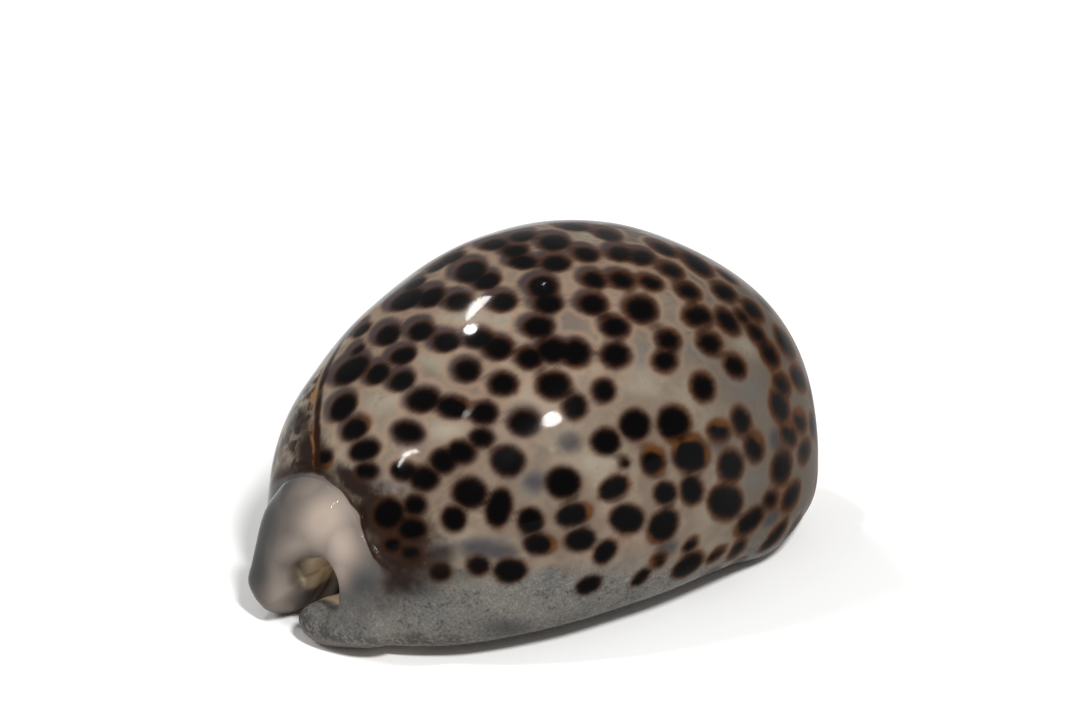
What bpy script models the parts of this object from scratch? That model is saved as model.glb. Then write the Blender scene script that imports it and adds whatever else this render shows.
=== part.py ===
# Tiger cowrie shell, grown as one piece, lying on its base.
#
# Metres, +Z up. The shell is 80 mm long along X: the narrow front end, with the deep canal
# notch under the pale nose, points to -X, and the broad back end to +X. The outer lip is on
# the +Y side and the columella on the -Y side, so the shell is right-handed. Z = 0 is the
# plane that the two lips of the base stand on, and the origin is under the middle.
#
# The wall is a loft along X between closed C-shaped sections. Each section runs round the
# outside from one lip of the slit to the other, over that lip, back round the hollow and over
# the first lip. At both ends the C closes on itself in a thick rounded rim, which leaves the
# canal open down to the slit.
import math

import bpy
import bmesh
import numpy as np

MM = 0.001

# Outside: an egg whose sections are superellipses about a centre line
HALF_WIDTH = 27.0 * MM
CROWN = 28.7 * MM                          # from the centre line to the top of the back
CENTRE_Z = 11.9 * MM                       # height of the centre line: middle, front, back
CENTRE_Z_FRONT = 6.1 * MM
CENTRE_Z_BACK = 8.8 * MM
CENTRE_Y_FRONT = -1.0 * MM                 # it swings to the columella at both ends
CENTRE_Y_BACK = -3.0 * MM
EGG_FRONT = -38.4 * MM
EGG_BACK = 36.7 * MM
WIDTH_LEAN = (0.05, 0.069)                 # the widest place lies behind the middle
CROWN_LEAN = (0.201, 0.007)                # and so does the highest
WIDTH_POWER = 0.946
CROWN_POWER = 1.018
BASE_POWER = 0.18                          # the base curls up only near the ends
LIP_SIDE_FULLER = 0.036
TOP_ROUND = 2.42
BASE_ROUND = 3.47

# The callus that grows over both ends: nose in front, a low spout behind
NOSE_TOP = (10.3 * MM, 19.5 * MM)          # at the tip, at the root
NOSE_LIP_SIDE = (7.2 * MM, 17.5 * MM)
NOSE_COLUMELLA_SIDE = (7.4 * MM, 11.8 * MM)
NOSE_ROUND = 2.1
NOSE_BASE_ROUND = (6.3, 2.0)               # lip side, columella side
NOSE_ROOT = -24.0 * MM
SPOUT_TOP = (6.0 * MM, 15.0 * MM)
SPOUT_SIDE = (6.0 * MM, 14.0 * MM)
SPOUT_ROOT = 28.0 * MM
END = 40.0 * MM
NOSE_UNION = 12.0                          # how sharp the crease is where callus meets egg
SPOUT_UNION = 6.0
NOSE_FADES = (0.0, -14.0 * MM)             # neither callus reaches past the middle
SPOUT_FADES = (4.0 * MM, 18.0 * MM)
FOOT_AT = 19.0 * MM                        # low swelling of the margin, columella side, behind
FOOT_LENGTH = 7.0 * MM
FOOT_ANGLE = -2.15
FOOT_SPREAD = 0.28
FOOT_HEIGHT = 0.09                         # share of the radius there

# Inside: the hollow and the two canals that lead out of it
HOLLOW_END = 31.0 * MM
WALL_SIDE = 3.4 * MM
WALL_TOP = 2.2 * MM
BASE_WALL = 5.4 * MM
FRONT_CANAL = (2.4 * MM, 2.0 * MM)         # half width, height above its centre
FRONT_CANAL_CENTRE = (-2.3 * MM, 8.2 * MM)
BACK_CANAL = (2.6 * MM, 3.0 * MM)
CANAL_BELOW = 3.0 * MM

# The slit between the two toothed lips: middle, front end, back end
SLIT_Y = (2.4 * MM, 4.0 * MM, -4.5 * MM)
SLIT_HALF_GAP = (3.0 * MM, 0.35 * MM, 1.3 * MM)
SLIT_WIDER = 0.4 * MM                      # over the front third
SLIT_WIDER_AT = -28.0 * MM
LIP_OUT = (2.6 * MM, 1.3 * MM, 2.2 * MM)   # how far a lip's rounding reaches outside
LIP_IN = (2.6 * MM, 0.2 * MM, 1.0 * MM)    # and inside, on the outer lip
PILLAR_OUT = (3.0 * MM, 5.2 * MM, 2.4 * MM)
PILLAR_IN = (3.0 * MM, 2.6 * MM, 1.0 * MM)
TEETH = 22
TOOTH_HEIGHT = 0.8 * MM
TOOTHED = 32.0 * MM                        # teeth stand on |x| below this

# End rims
RIM_FRONT_AT = -34.8 * MM
RIM_BACK_AT = 36.3 * MM
RIM_FRONT_DEPTH = 5.1 * MM
RIM_BACK_DEPTH = 3.8 * MM
RIM_FRONT_EDGE = 0.72                      # share of the way from outside to inside
RIM_BACK_EDGE = 0.5
RIM_FULLNESS = (0.55, 1.0)                 # at the two lobes, elsewhere; lower is boxier
LEAN_BACK = 1.5 * MM                       # the top of each rim leans back by this
FRONT_SHEAR = 0.1                          # the front end faces the columella side a little

SINK = 0.25 * MM                           # what the floor plane takes off the lips

# Facets
ROWS_PER_TOOTH = 4
ROWS_END = 6
ROWS_RIM = 5
ARC_POINTS = 18
LIP_POINTS = 4


def ease(a, b, x):
    t = np.clip((x - a) / (b - a), 0, 1)
    return t * t * (3 - 2 * t)


def mix(a, b, t):
    return a + (b - a) * t


def superellipse(side, up, down, power_up, power_down, angle):
    """Radius at an angle from straight up; positive angles lie on the outer lip's side."""
    s, c = np.abs(np.sin(angle)), np.cos(angle)
    height = np.where(c > 0, up, down)
    power = np.where(c > 0, power_up, power_down)
    return ((s / side) ** power + (np.abs(c) / height) ** power) ** (-1 / power)


def union(power, *radii):
    top = np.maximum.reduce(radii)
    return top * sum((r / top) ** power for r in radii) ** (1 / power)


def centre(x):
    front, back = np.clip(-x / END, 0, 1), np.clip(x / END, 0, 1)
    y = CENTRE_Y_FRONT * front ** 2.5 + CENTRE_Y_BACK * back ** 2.5
    z = CENTRE_Z + (CENTRE_Z_FRONT - CENTRE_Z) * front ** 2 + (CENTRE_Z_BACK - CENTRE_Z) * back ** 2
    return y, z


def canal_centre(x):
    y, z = centre(x)
    t = ease(-22 * MM, -33 * MM, x)
    return mix(y, FRONT_CANAL_CENTRE[0], t), mix(z, FRONT_CANAL_CENTRE[1], t)


def egg(x, angle):
    t = np.clip((2 * x - EGG_FRONT - EGG_BACK) / (EGG_BACK - EGG_FRONT), -1, 1)
    s = np.sqrt(np.maximum(1 - t * t, 1e-9))
    side = HALF_WIDTH * s ** WIDTH_POWER * (1 + WIDTH_LEAN[0] * t + WIDTH_LEAN[1] * t * t)
    side = side * (1 + LIP_SIDE_FULLER * np.sin(angle))
    up = CROWN * s ** CROWN_POWER * (1 + CROWN_LEAN[0] * t + CROWN_LEAN[1] * t * t)
    return superellipse(side, up, centre(x)[1] * s ** BASE_POWER, TOP_ROUND, BASE_ROUND, angle)


def nose(x, angle):
    root = ease(-END, NOSE_ROOT, x)
    lip_side = 0.5 + 0.5 * np.tanh(2.5 * np.sin(angle))
    side = mix(mix(*NOSE_COLUMELLA_SIDE, root), mix(*NOSE_LIP_SIDE, root), lip_side)
    base_round = mix(NOSE_BASE_ROUND[1], NOSE_BASE_ROUND[0], lip_side)
    return superellipse(side, mix(*NOSE_TOP, root), centre(x)[1] - 0.2 * MM, NOSE_ROUND, base_round, angle)


def spout(x, angle):
    root = ease(END, SPOUT_ROOT, x)
    side, up = mix(*SPOUT_SIDE, root), mix(*SPOUT_TOP, root)
    return superellipse(side, up, centre(x)[1] - 0.4 * MM, 2.1, 2.6, angle)


def outside(x, angle):
    if x < 0:
        radius = union(NOSE_UNION, egg(x, angle), nose(x, angle) * ease(*NOSE_FADES, x))
    else:
        radius = union(SPOUT_UNION, egg(x, angle), spout(x, angle) * ease(*SPOUT_FADES, x))
    foot = np.exp(-((x - FOOT_AT) / FOOT_LENGTH) ** 2 - ((angle - FOOT_ANGLE) / FOOT_SPREAD) ** 2)
    return radius * (1 + FOOT_HEIGHT * foot)


def inside(x, angle):
    z = canal_centre(x)[1]
    s = math.sqrt(max(1 - (x / HOLLOW_END) ** 2, 1e-9))
    floor = max(z - BASE_WALL, 1 * MM) * s ** 0.4
    hollow = superellipse((HALF_WIDTH - WALL_SIDE) * s, (CROWN - WALL_TOP) * s ** 1.1, floor, 2.1, 2.6, angle)
    half_width, up = FRONT_CANAL if x < 0 else BACK_CANAL
    return union(8, hollow, superellipse(half_width, up, CANAL_BELOW, 2.2, 2.2, angle))


def along(values, x, power_front=3.0, power_back=3.0):
    """A size that runs from its middle value to its values at the two ends."""
    middle, front, back = values
    f, b = np.clip(-x / (37 * MM), 0, 1), np.clip(x / (37 * MM), 0, 1)
    return middle + (front - middle) * f ** power_front + (back - middle) * b ** power_back


def angle_above(x, y, radius, middle, start):
    """The angle at which a section's lower side passes over a given y."""
    y0, z0 = middle(x)
    angle = start
    for _ in range(30):
        z = radius(x, angle) * math.cos(angle)
        target = math.atan2(y - y0, z)
        if start < 0 < target:
            target -= 2 * math.pi
        angle = (angle + target) / 2
    return angle


def arc(x, start, end, radius, middle):
    y0, z0 = middle(x)
    angle = np.linspace(start, end, ARC_POINTS)
    r = radius(x, angle)
    return np.stack([y0 + r * np.sin(angle), z0 + r * np.cos(angle)], -1)


def lip(x, first, last, wall, side, phase):
    """A half-round lip between two arc ends, bulging to the slit's wall, with its tooth."""
    b = np.linspace(0, math.pi, LIP_POINTS + 2)[1:-1]
    y, z = (first + last) / 2
    half = (last - first) / 2
    points = np.stack([y - half[0] * np.cos(b) + (wall - y) * np.sin(b) ** 0.8, z - half[1] * np.cos(b)], -1)
    out = np.stack([side * np.sin(b) * abs(half[1]), -np.cos(b) * np.sign(half[1]) * 3 * MM], -1)
    out /= np.linalg.norm(out, axis=1, keepdims=True)
    wave = 0.5 + 0.5 * math.cos(2 * math.pi * (x / (2 * TOOTHED) * TEETH + phase))
    fade = ease(0.15, 0.9, b) * (1 - ease(2.0, 2.9, b))
    fade = fade * ease(TOOTHED + 2.5 * MM, TOOTHED - MM, abs(x))
    return points + out * (TOOTH_HEIGHT * wave * fade)[:, None]


def section(x):
    slit = along(SLIT_Y, x, 2.5, 2.0)
    gap = along(SLIT_HALF_GAP, x, 3.5, 5.0) + SLIT_WIDER * math.exp(-((x - SLIT_WIDER_AT) / (7 * MM)) ** 2)
    lip_wall, pillar_wall = slit + gap, slit - gap
    outer = arc(x, angle_above(x, lip_wall + along(LIP_OUT, x), outside, centre, 2.8),
                angle_above(x, pillar_wall - along(PILLAR_OUT, x), outside, centre, -2.8), outside, centre)
    inner = arc(x, angle_above(x, pillar_wall - along(PILLAR_IN, x), inside, canal_centre, -2.6),
                angle_above(x, lip_wall + along(LIP_IN, x), inside, canal_centre, 2.6), inside, canal_centre)
    pillar = lip(x, outer[-1], inner[0], pillar_wall, 1, 0.0)
    outer_lip = lip(x, inner[-1], outer[0], lip_wall, -1, 0.5)
    flat = np.concatenate([outer, pillar, inner, outer_lip])
    return np.column_stack([np.full(len(flat), x), flat])


def rim(base, depth, edge):
    """Rows that close the C: each outer point meets the inner point across the wall."""
    n, a, l = len(base), ARC_POINTS, LIP_POINTS
    pair = np.arange(n)
    pair[:a] = np.arange(2 * a + l - 1, a + l - 1, -1)
    pair[a + l:2 * a + l] = np.arange(a - 1, -1, -1)
    s = np.linspace(0, 1, a)
    away = np.zeros(n)                     # 0 on the two lobes, 1 well away from them
    away[:a] = ease(0, 0.3, s) * ease(1, 0.7, s)
    away[a + l:2 * a + l] = away[:a][::-1]
    share = np.full(n, 0.5)
    share[:a] = 1 - mix(0.5, edge, away[:a])
    share[a + l:2 * a + l] = mix(0.5, edge, away[a + l:2 * a + l])
    power = mix(*RIM_FULLNESS, away)[:, None]
    ridge = base * share[:, None] + base[pair] * (1 - share)[:, None]
    ridge[a:a + l] = ridge[a - 1]
    ridge[2 * a + l:] = ridge[0]
    rows = []
    for f in np.linspace(0, math.pi / 2, ROWS_RIM + 1)[1:]:
        row = ridge + (base - ridge) * max(math.cos(f), 0) ** power
        row[:, 0] = base[:, 0] + depth * math.sin(f) ** power[:, 0]
        rows.append(row)
    return rows


def settle(grid):
    """Leans the two ends, and takes the base down to the floor plane."""
    x, y, z = grid[..., 0].copy(), grid[..., 1], grid[..., 2]
    above = ease(-4 * MM, 9 * MM, z - centre(x)[1])
    front, back = ease(-26 * MM, -38 * MM, x), ease(26 * MM, 38 * MM, x)
    grid[..., 0] = x + LEAN_BACK * above * (front - back) - FRONT_SHEAR * (y - 2 * MM) * front
    grid[..., 2] = np.maximum(z - SINK, 0)
    low, high = grid.min((0, 1)), grid.max((0, 1))
    grid[..., :2] -= ((low + high) / 2)[:2]
    return grid


def shell_grid():
    middle = np.linspace(-TOOTHED, TOOTHED, TEETH * ROWS_PER_TOOTH + 1)
    step = np.linspace(0, 1, ROWS_END + 1)[1:]
    front = mix(-TOOTHED, RIM_FRONT_AT, step)[::-1]
    back = mix(TOOTHED, RIM_BACK_AT, step)
    rows = [section(x) for x in np.concatenate([front, middle, back])]
    front_rim = rim(rows[0], -RIM_FRONT_DEPTH, RIM_FRONT_EDGE)[::-1]
    back_rim = rim(rows[-1], RIM_BACK_DEPTH, RIM_BACK_EDGE)
    return settle(np.array(front_rim + rows + back_rim))


def loft(name, grid):
    """Skins the rows into one closed surface."""
    bm = bmesh.new()
    rows = [[bm.verts.new(point) for point in row] for row in grid]
    for low, high in zip(rows, rows[1:]):
        for k in range(len(low)):
            n = (k + 1) % len(low)
            bm.faces.new((low[k], high[k], high[n], low[n]))
    bmesh.ops.remove_doubles(bm, verts=bm.verts, dist=0.002 * MM)
    bmesh.ops.dissolve_degenerate(bm, edges=bm.edges, dist=0.001 * MM)
    bmesh.ops.triangulate(bm, faces=bm.faces)
    bmesh.ops.recalc_face_normals(bm, faces=bm.faces)
    mesh = bpy.data.meshes.new(name)
    bm.to_mesh(mesh)
    bm.free()
    mesh.shade_smooth()
    return mesh


def glaze():
    """The glossy spotted back, as one average colour."""
    material = bpy.data.materials.new("shell")
    material.use_nodes = True
    surface = material.node_tree.nodes["Principled BSDF"]
    surface.inputs["Base Color"].default_value = (0.30, 0.24, 0.20, 1)
    surface.inputs["Roughness"].default_value = 0.15
    surface.inputs["Metallic"].default_value = 0.0
    return material


def main():
    for thing in list(bpy.data.objects):
        bpy.data.objects.remove(thing, do_unlink=True)
    collection = bpy.data.collections.new("cowrie_shell")
    bpy.context.scene.collection.children.link(collection)
    shell = bpy.data.objects.new("shell", loft("shell", shell_grid()))
    shell.data.materials.append(glaze())
    collection.objects.link(shell)


main()
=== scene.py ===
import math
import random

import bpy
import bmesh
import numpy as np
from mathutils import Matrix, Vector
from mathutils.bvhtree import BVHTree


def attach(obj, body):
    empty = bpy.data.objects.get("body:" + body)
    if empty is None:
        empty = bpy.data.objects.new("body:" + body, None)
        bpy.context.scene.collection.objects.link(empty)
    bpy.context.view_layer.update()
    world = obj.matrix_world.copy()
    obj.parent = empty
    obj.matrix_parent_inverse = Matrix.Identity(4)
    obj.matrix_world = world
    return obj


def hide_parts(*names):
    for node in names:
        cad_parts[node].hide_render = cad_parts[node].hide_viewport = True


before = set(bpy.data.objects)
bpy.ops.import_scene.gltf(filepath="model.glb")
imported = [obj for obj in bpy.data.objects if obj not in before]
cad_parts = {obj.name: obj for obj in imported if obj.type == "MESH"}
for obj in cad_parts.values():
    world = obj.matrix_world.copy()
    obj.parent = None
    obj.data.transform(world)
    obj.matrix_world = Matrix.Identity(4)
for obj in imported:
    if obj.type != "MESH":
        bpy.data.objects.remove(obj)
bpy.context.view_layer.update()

print("frame loaded:", ", ".join(sorted(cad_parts)))

mm = 0.001
mmPerRadian = 20.0                  # about how far one radian round the shell reaches

# camera: where the photograph was taken from. Pixels are those of a 1080 x 721 picture
photoCamera = {
    "width": 1080, "height": 721,
    "azimuth": -41.107, "elevation": 24.273, "roll": 0.219,
    "distance": 450.0,              # mm from the target
    "pixelsPerMm": 7.963,           # at the target
    "target": (0.04, -0.97, 17.75),
    "targetPixel": (545.5, 421.9),
}


def cameraAxes():
    az, el, roll = (math.radians(photoCamera[k]) for k in ("azimuth", "elevation", "roll"))
    back = np.array([math.sin(az) * math.cos(el), -math.cos(az) * math.cos(el), math.sin(el)])
    right = np.array([math.cos(az), math.sin(az), 0.0])
    up = np.cross(back, right)
    turnedRight = right * math.cos(roll) + up * math.sin(roll)
    return turnedRight, np.cross(back, turnedRight), back


right, up, back = cameraAxes()
eye = np.array(photoCamera["target"]) + back * photoCamera["distance"]
focal = photoCamera["pixelsPerMm"] * photoCamera["distance"]


def rayThrough(px, py):
    cx, cy = photoCamera["targetPixel"]
    d = -back + right * (px - cx) / focal - up * (py - cy) / focal
    return d / np.linalg.norm(d)


def pixelSize(at):
    # mm that one pixel spans at a point
    return -((at - eye) @ back) / focal


def makeCamera():
    data = bpy.data.cameras.new("photoCamera")
    camera = bpy.data.objects.new("photoCamera", data)
    bpy.context.scene.collection.objects.link(camera)
    data.sensor_width = 36
    data.lens = 36 * focal / photoCamera["width"]
    data.shift_x = (photoCamera["width"] / 2 - photoCamera["targetPixel"][0]) / photoCamera["width"]
    data.shift_y = (photoCamera["targetPixel"][1] - photoCamera["height"] / 2) / photoCamera["width"]
    data.clip_start, data.clip_end = 0.01, 20
    turn = Matrix([list(right), list(up), list(back)]).transposed()
    camera.matrix_world = Matrix.Translation(Vector(eye * mm)) @ turn.to_4x4()
    bpy.context.scene.camera = camera


makeCamera()

# shell form, in mm: the model's values, apart from some of the nose, canal, slit and lips in front
shellForm = {
    # body: an egg
    "halfWidth": 27.0, "crown": 28.7, "end": 40.0,
    "centreZ": (11.9, 6.1, 8.8), "centreY": (-1.0, -3.0),        # middle, front, back; front, back
    "eggEnds": (-38.4, 36.7), "widthLean": (0.05, 0.069), "crownLean": (0.201, 0.007),
    "widthPower": 0.946, "crownPower": 1.018, "basePower": 0.18, "lipSideFuller": 0.036,
    "topRound": 2.42, "baseRound": 3.47,
    # nose in front and spout behind
    "noseTop": (10.3, 19.5), "noseLipSide": (6.7, 17.5), "nosePillarSide": (7.4, 11.8),      # tip, root
    "noseRound": 2.1, "noseBaseRound": (6.3, 2.0), "noseRoot": -24.0, "noseFades": (0.0, -14.0),
    "noseFillet": (3.2, 9.5), "filletAngles": ((0.1, 0.8), (1.6, 1.0)),
    "spoutTop": (6.0, 15.0), "spoutSide": (6.0, 14.0), "spoutRound": (2.1, 2.6),
    "spoutRoot": 28.0, "spoutUnion": 6.0, "spoutFades": (4.0, 18.0),
    "footAt": 19.0, "footLength": 7.0, "footAngle": -2.15, "footSpread": 0.28, "footHeight": 0.09,
    # hollow and the canals at its ends
    "hollowEnd": 31.0, "wallSide": 3.4, "wallTop": 2.2, "baseWall": 5.4,
    "frontCanal": (3.5, 3.0), "frontCanalCentre": (-1.5, 8.2), "canalLeaves": (-22, -33),      # y, z; x
    "frontCanalSlope": 0.35, "canalRound": (2.8, 2.2),
    "backCanal": (2.6, 3.0), "canalBelow": 3.0,
    "canalLipSide": (3.7, 6.2, 5.0), "canalWidens": (-29.0, -33.5),      # side, below, roundness; x
    # slit, lips and teeth: middle, front, back
    "slitY": (2.4, 2.6, -4.5), "slitHalfGap": (3.0, -0.25, 1.3), "slitEnd": 37.0,
    "slitWider": 0.4, "slitWiderAt": -28.0, "slitWiderLength": 7.0,
    "lipOut": (2.6, 4.0, 2.2), "lipIn": (2.6, -0.9, 1.0), "pillarOut": (3.0, 4.6, 2.4), "pillarIn": (3.0, 5.2, 1.0),
    "teeth": 22, "toothHeight": 0.8, "toothed": 32.0,
    # ends, and how the front leans
    "rimAt": (-34.8, 36.3), "rimDepth": (5.1, 3.8), "rimEdge": (0.72, 0.5), "rimFullness": (0.75, 1.0),
    "leanBack": 1.5, "leanFrom": (26, 38), "leanAbove": (-4, 9), "frontShear": 0.1, "shearAbout": 2, "sink": 0.25,
    "frontNarrower": 0.65, "narrowerFrom": (-30, -36), "frontLift": (0.9, 0.4), "liftFrom": (-35, -39.5),
    "shoulder": (2.2, -0.78, 0.55, -34.8, 3.0, 15.0),      # reach beside the nose, angle, spread, x, lengths
    # only on the fine shell
    "seamDepth": 0.32, "seamWidth": 0.45, "seamRoll": 0.28, "seamRollAt": -1.4, "seamRollWidth": 1.0,
    "swell": 0.10, "ribHeight": 0.42, "ribColumns": 7.0, "ribLevel": 0.4,
    "rowsPerTooth": 8, "rowsEnd": 12, "rowsRim": 14, "arcPoints": 170, "lipPoints": 18,
}
form = shellForm


def ease(a, b, x):
    t = np.clip((x - a) / (b - a), 0, 1)
    return t * t * (3 - 2 * t)


def blend(a, b, t):
    return a + (b - a) * t


def superellipse(side, top, bottom, powerTop, powerBottom, angle):
    s, c = np.abs(np.sin(angle)), np.cos(angle)
    height, power = np.where(c > 0, top, bottom), np.where(c > 0, powerTop, powerBottom)
    return ((s / side) ** power + (np.abs(c) / height) ** power) ** (-1 / power)


def union(power, *radii):
    top = np.maximum.reduce(radii)
    return top * sum((r / top) ** power for r in radii) ** (1 / power)


def centre(x):
    front, behind = np.clip(-x / form["end"], 0, 1), np.clip(x / form["end"], 0, 1)
    (yFront, yBack), (z, zFront, zBack) = form["centreY"], form["centreZ"]
    return (yFront * front ** 2.5 + yBack * behind ** 2.5,
            z + (zFront - z) * front ** 2 + (zBack - z) * behind ** 2)


def canalCentre(x):
    y, z = centre(x)
    t = ease(*form["canalLeaves"], x)
    return blend(y, form["frontCanalCentre"][0], t), blend(z, form["frontCanalCentre"][1], t)


def egg(x, angle):
    low, high = form["eggEnds"]
    t = np.clip((2 * x - low - high) / (high - low), -1, 1)
    s = np.sqrt(np.maximum(1 - t * t, 1e-9))
    (sideLean, sideBow), (crownLean, crownBow) = form["widthLean"], form["crownLean"]
    side = form["halfWidth"] * s ** form["widthPower"] * (1 + sideLean * t + sideBow * t * t)
    side = side * (1 + form["lipSideFuller"] * np.sin(angle))
    top = form["crown"] * s ** form["crownPower"] * (1 + crownLean * t + crownBow * t * t)
    return superellipse(side, top, centre(x)[1] * s ** form["basePower"], form["topRound"], form["baseRound"], angle)


def nose(x, angle):
    root = ease(-form["end"], form["noseRoot"], x)
    lipSide = 0.5 + 0.5 * np.tanh(2.5 * np.sin(angle))
    side = blend(blend(*form["nosePillarSide"], root), blend(*form["noseLipSide"], root), lipSide)
    baseRound = blend(form["noseBaseRound"][1], form["noseBaseRound"][0], lipSide)
    return superellipse(side, blend(*form["noseTop"], root), centre(x)[1] - 0.2, form["noseRound"], baseRound, angle)


def spout(x, angle):
    root = ease(form["end"], form["spoutRoot"], x)
    side, top = blend(*form["spoutSide"], root), blend(*form["spoutTop"], root)
    return superellipse(side, top, centre(x)[1] - 0.4, *form["spoutRound"], angle)


def outside(x, angle):
    body = egg(x, angle)
    beak = nose(x, angle) * ease(*form["noseFades"], x)
    widens, narrows = form["filletAngles"]
    w = blend(*form["noseFillet"], ease(*widens, angle) * ease(*narrows, angle))
    front = np.maximum(body, beak) + w / 4 * np.maximum(1 - np.abs(body - beak) / w, 0) ** 2
    behind = union(form["spoutUnion"], body, spout(x, angle) * ease(*form["spoutFades"], x))
    foot = np.exp(-((x - form["footAt"]) / form["footLength"]) ** 2
                  - ((angle - form["footAngle"]) / form["footSpread"]) ** 2)
    return np.where(x < 0, front, behind) * (1 + form["footHeight"] * foot)


def relief(x, angle):
    # the slow swells of a grown surface
    swell = np.sin(0.31 * x + 1.1) * np.sin(3.1 * angle + 0.4)
    swell = swell + 0.6 * np.sin(0.19 * x - 2.3 * angle) + 0.5 * np.sin(0.53 * x + 5.2 * angle)
    return form["swell"] * swell * ease(2.2, 1.6, np.abs(angle))


def inside(x, angle):
    z = canalCentre(x)[1]
    s = np.sqrt(np.maximum(1 - (x / form["hollowEnd"]) ** 2, 1e-9))
    floor = np.maximum(z - form["baseWall"], 1) * s ** 0.4
    hollow = superellipse((form["halfWidth"] - form["wallSide"]) * s, (form["crown"] - form["wallTop"]) * s ** 1.1,
                          floor, 2.1, 2.6, angle)
    side, top = (np.where(x < 0, a, b) for a, b in zip(form["frontCanal"], form["backCanal"]))
    top = top * np.where(x < 0, 1 - form["frontCanalSlope"] * ease(-0.9, 1.2, np.sin(angle)), 1)
    wide = ease(*form["canalWidens"], x) * ease(-0.2, 0.2, np.sin(angle))
    frontRound, backRound = form["canalRound"]
    plain = (side, form["canalBelow"], backRound)
    side, below, baseRound = (blend(a, b, wide) for a, b in zip(plain, form["canalLipSide"]))
    topRound = np.where(x < 0, frontRound, backRound)
    return union(8, hollow, superellipse(side, top, below, topRound, baseRound, angle))


def along(values, x, powerFront=3.0, powerBack=3.0):
    middle, front, behind = values
    t = x / form["slitEnd"]
    return (middle + (front - middle) * np.clip(-t, 0, 1) ** powerFront
            + (behind - middle) * np.clip(t, 0, 1) ** powerBack)


def angleAbove(x, y, radius, middle, start):
    y0 = middle(x)[0]
    angle = np.full_like(x, start)
    for _ in range(30):
        target = np.arctan2(y - y0, radius(x, angle) * np.cos(angle))
        if start < 0:
            target = np.where(target > 0, target - 2 * math.pi, target)
        angle = (angle + target) / 2
    return angle


def arc(x, start, end, radius, middle, extra=None):
    angle = start[:, None] + (end - start)[:, None] * np.linspace(0, 1, form["arcPoints"])
    x = x[:, None]
    r = radius(x, angle)
    if extra:
        r = r + extra(x, angle)
    y0, z0 = middle(x)
    return np.stack([y0 + r * np.sin(angle), z0 + r * np.cos(angle)], -1), angle


def lip(x, first, last, wall, side, phase):
    b = np.linspace(0, math.pi, form["lipPoints"] + 2)[1:-1]
    middle, half = (first + last) / 2, (last - first) / 2
    y = middle[:, :1] - half[:, :1] * np.cos(b) + (wall[:, None] - middle[:, :1]) * np.sin(b) ** 0.8
    z = middle[:, 1:] - half[:, 1:] * np.cos(b)
    out = np.stack([side * np.sin(b) * np.abs(half[:, 1:]), -np.cos(b) * np.sign(half[:, 1:]) * 3], -1)
    out = out / np.linalg.norm(out, axis=2, keepdims=True)
    wave = 0.5 + 0.5 * np.cos(2 * math.pi * (x / (2 * form["toothed"]) * form["teeth"] + phase))
    fade = ease(0.15, 0.9, b) * (1 - ease(2.0, 2.9, b))
    reach = ease(form["toothed"] + 2.5, form["toothed"] - 1, np.abs(x))
    return np.stack([y, z], -1) + out * (form["toothHeight"] * (wave ** 0.8 * reach)[:, None] * fade)[..., None]


def closeEnd(base, depth, edge):
    # rows that take each outer point and the inner one across the wall to a shared ridge
    n, a, l = len(base), form["arcPoints"], form["lipPoints"]
    pair = np.arange(n)
    pair[:a] = np.arange(2 * a + l - 1, a + l - 1, -1)
    pair[a + l:2 * a + l] = np.arange(a - 1, -1, -1)
    s = np.linspace(0, 1, a)
    away = np.zeros(n)
    away[:a] = ease(0, 0.3, s) * ease(1, 0.7, s)
    away[a + l:2 * a + l] = away[:a][::-1]
    share = np.full(n, 0.5)
    share[:a] = 1 - blend(0.5, edge, away[:a])
    share[a + l:2 * a + l] = blend(0.5, edge, away[a + l:2 * a + l])
    power = blend(*form["rimFullness"], away)[:, None]
    ridge = base * share[:, None] + base[pair] * (1 - share)[:, None]
    ridge[a:a + l] = ridge[a - 1]
    ridge[2 * a + l:] = ridge[0]
    rows = []
    for f in np.linspace(0, math.pi / 2, form["rowsRim"] + 1)[1:]:
        row = ridge + (base - ridge) * max(math.cos(f), 0) ** power
        row[:, 0] = base[:, 0] + depth * math.sin(f) ** power[:, 0]
        rows.append(row)
    return rows


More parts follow.
